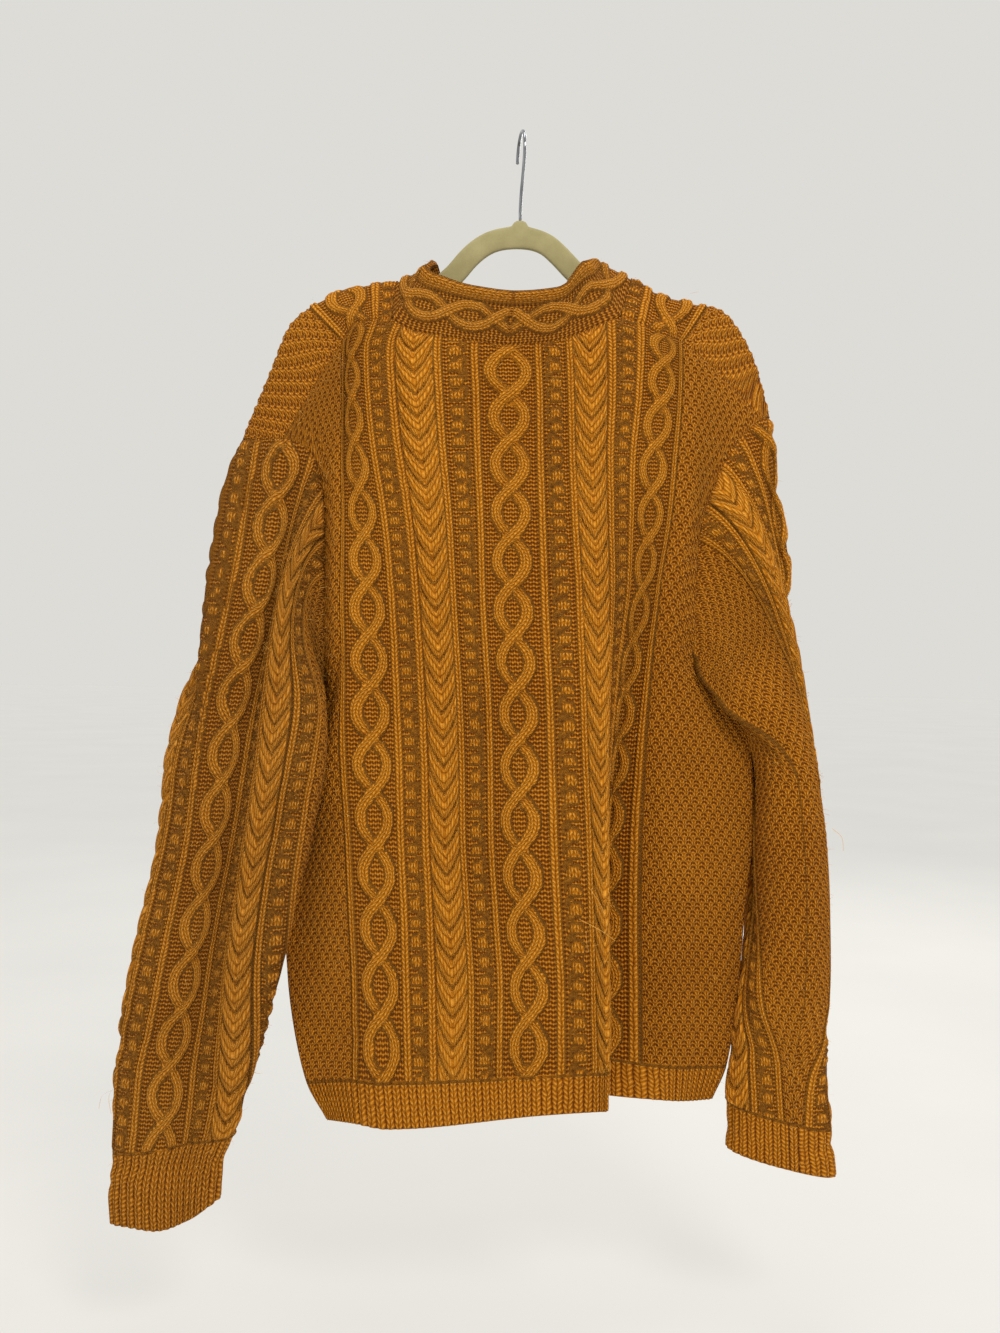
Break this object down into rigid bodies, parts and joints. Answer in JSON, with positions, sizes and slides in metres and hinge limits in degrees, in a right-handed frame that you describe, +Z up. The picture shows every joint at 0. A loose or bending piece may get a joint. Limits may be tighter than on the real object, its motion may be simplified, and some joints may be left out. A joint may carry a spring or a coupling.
{
  "type": "cable knit cardigan on a hanger",
  "caption": "Hand-knit wool cardigan with cable and moss-stitch panels, a cabled neck band and an open front, hanging on a slim flocked hanger.",
  "frame": {"origin": "inside top of the hanger's hook, where it rests on a rail", "axes": "+Z up, -Y towards the cardigan's back, which the picture shows, +X towards the wearer's right arm"},
  "size_m": [0.6681, 0.1412, 1.0059],
  "materials": {
    "wool": "matte, fuzzy mustard wool",
    "flock": "short olive flock",
    "chrome": "polished wire"
  },
  "bodies": {
    "root": {"back": "wool", "front_left": "wool", "front_right": "wool", "band_left": "wool", "band_right": "wool", "sleeve_left": "wool", "sleeve_right": "wool", "hanger_arms": "flock", "hanger_hook": "chrome"}
  },
  "joints": []
}
